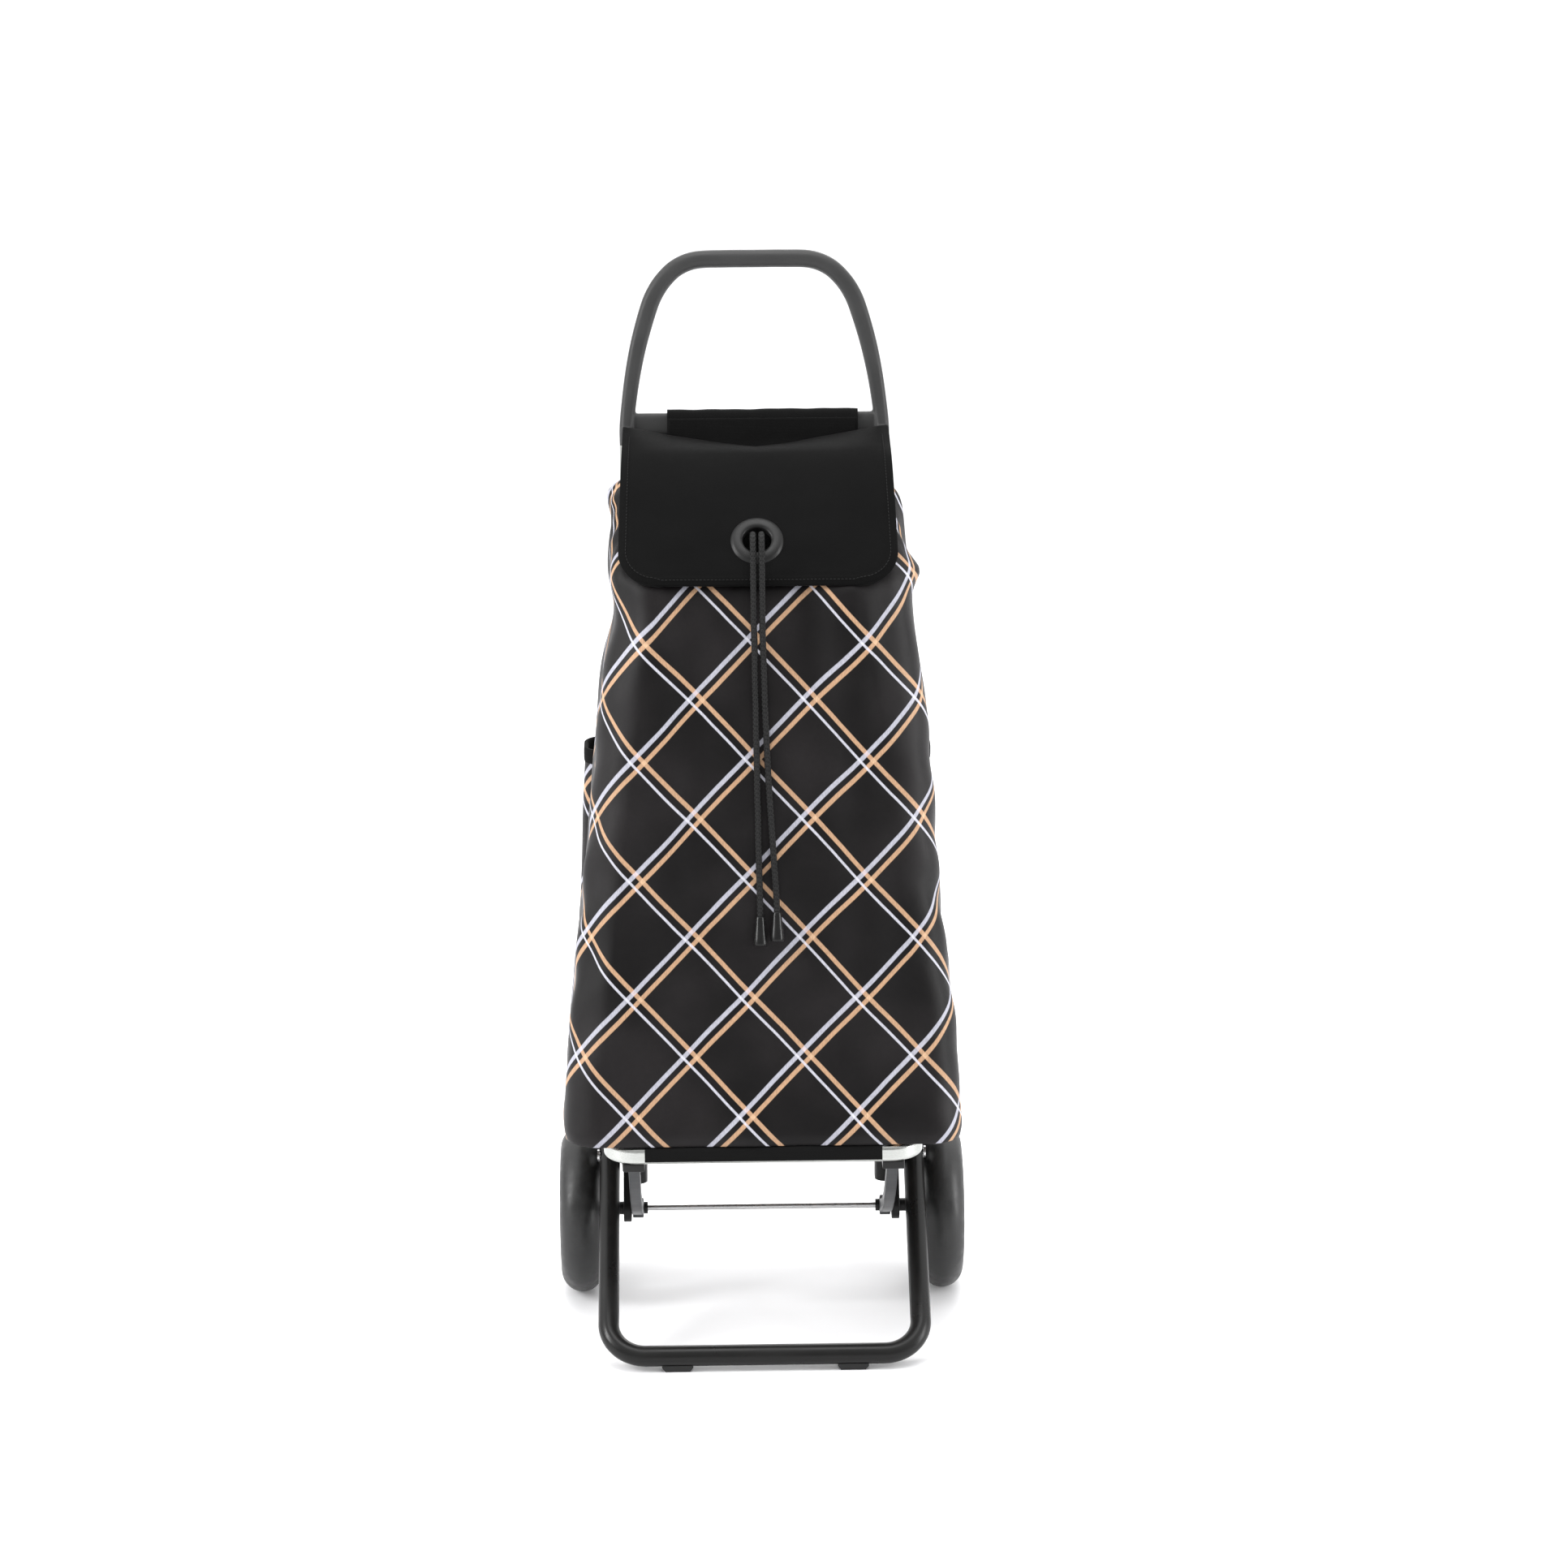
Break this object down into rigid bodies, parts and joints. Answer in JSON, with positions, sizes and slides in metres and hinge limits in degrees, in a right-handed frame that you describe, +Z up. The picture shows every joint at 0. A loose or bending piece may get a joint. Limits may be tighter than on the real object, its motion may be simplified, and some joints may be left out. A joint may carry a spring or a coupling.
{
  "type": "shopping trolley",
  "caption": "Folding two-wheeled shopping trolley: leaning tube frame with arched handle, hinged platform and front foot, soft bag with flap lid and drawstring.",
  "frame": {"origin": "centre of the object's footprint box, on the floor", "axes": "+Z up, -Y towards the front of the trolley (the bag's front and the foot), +X to the right seen from the front"},
  "size_m": [0.4, 0.328, 1.0324],
  "materials": {
    "handle_plastic": "dark grey, fine moulded grain",
    "dark_steel": "dark plated screws",
    "aluminium": "satin anodised",
    "black_plastic": "moulded, slightly glossy",
    "bright_steel": "zinc plated",
    "tyre_rubber": "smooth foam rubber",
    "rim_plastic": "moulded",
    "nylon": "natural nylon",
    "board": "stiffening board",
    "stay_grey": "mid grey, satin",
    "black_paint": "satin black paint",
    "pad_rubber": "matt rubber",
    "bag_fabric": "charcoal woven polyester with crossing pale and tan stripes",
    "black_fabric": "black woven tape",
    "flap_fabric": "matt black coated fabric",
    "ring_plastic": "dark grey ring",
    "cord": "black braided cord",
    "tip_plastic": "black moulded cord ends"
  },
  "bodies": {
    "frame": {"handle": "handle_plastic", "handle_screws": "dark_steel", "rear_tube_left": "aluminium", "rear_tube_right": "aluminium", "rear_brace": "aluminium", "knuckle_left": "black_plastic", "knuckle_right": "black_plastic", "axle_rod": "bright_steel", "axle_collars": "black_plastic", "axle_spacers": "black_plastic", "axle_push_nuts": "bright_steel", "platform_pins": "bright_steel", "platform_spacers": "black_plastic", "foot_pins": "bright_steel", "foot_spacers": "black_plastic", "bag_shell": "bag_fabric", "mouth_hem": "black_fabric", "back_board": "board", "rear_pocket": "bag_fabric", "pocket_binding": "black_fabric", "hanging_sleeve": "black_fabric", "cord_left": "cord", "cord_right": "cord", "cord_tip_left": "tip_plastic", "cord_tip_right": "tip_plastic"},
    "wheel_left": {"tyre_left": "tyre_rubber", "rim_left": "rim_plastic", "bush_left": "nylon", "hub_cap_left": "rim_plastic"},
    "wheel_right": {"tyre_right": "tyre_rubber", "rim_right": "rim_plastic", "bush_right": "nylon", "hub_cap_right": "rim_plastic"},
    "platform": {"platform_bar": "aluminium", "stay_seats": "black_plastic", "bar_strap": "black_fabric", "base_board": "board"},
    "foot": {"foot_tube": "black_paint", "foot_plugs": "black_plastic", "foot_pads": "pad_rubber"},
    "stay_left": {"stay_left": "stay_grey"},
    "stay_right": {"stay_right": "stay_grey"},
    "lid": {"lid_flap": "flap_fabric", "ring_front": "ring_plastic", "ring_back": "ring_plastic"}
  },
  "joints": [
    {"name": "wheel_left_spin", "type": "hinge", "parent": "frame", "child": "wheel_left", "pos_m": [-0.1795, 0.072, 0.0825], "axis": [1, 0, 0], "continuous": true},
    {"name": "wheel_right_spin", "type": "hinge", "parent": "frame", "child": "wheel_right", "pos_m": [0.1795, 0.072, 0.0825], "axis": [1, 0, 0], "continuous": true},
    {"name": "platform_fold", "type": "hinge", "parent": "frame", "child": "platform", "pos_m": [0, 0.06, 0.2115], "axis": [-1, 0, 0], "range_deg": [0, 93], "deforming": ["bag_shell"]},
    {"name": "foot_fold", "type": "hinge", "parent": "frame", "child": "foot", "pos_m": [0, 0.032, 0.152], "axis": [-1, 0, 0], "range_deg": [0, 127]},
    {"name": "stay_left_swing", "type": "hinge", "parent": "frame", "child": "stay_left", "pos_m": [-0.1235, 0.072, 0.0825], "axis": [-1, 0, 0], "range_deg": [0, 53]},
    {"name": "stay_right_swing", "type": "hinge", "parent": "frame", "child": "stay_right", "pos_m": [0.1235, 0.072, 0.0825], "axis": [-1, 0, 0], "range_deg": [0, 53]},
    {"name": "lid_hinge", "type": "hinge", "parent": "frame", "child": "lid", "pos_m": [0, 0.116, 0.8635], "axis": [-1, 0, 0], "range_deg": [0, 105], "deforming": ["cord_left", "cord_right"]}
  ],
  "couplings": [
    {"joint": "foot_fold", "follows": "platform_fold", "ratio": 1.365},
    {"joint": "stay_left_swing", "follows": "platform_fold", "ratio": 0.565},
    {"joint": "stay_right_swing", "follows": "platform_fold", "ratio": 0.565}
  ]
}
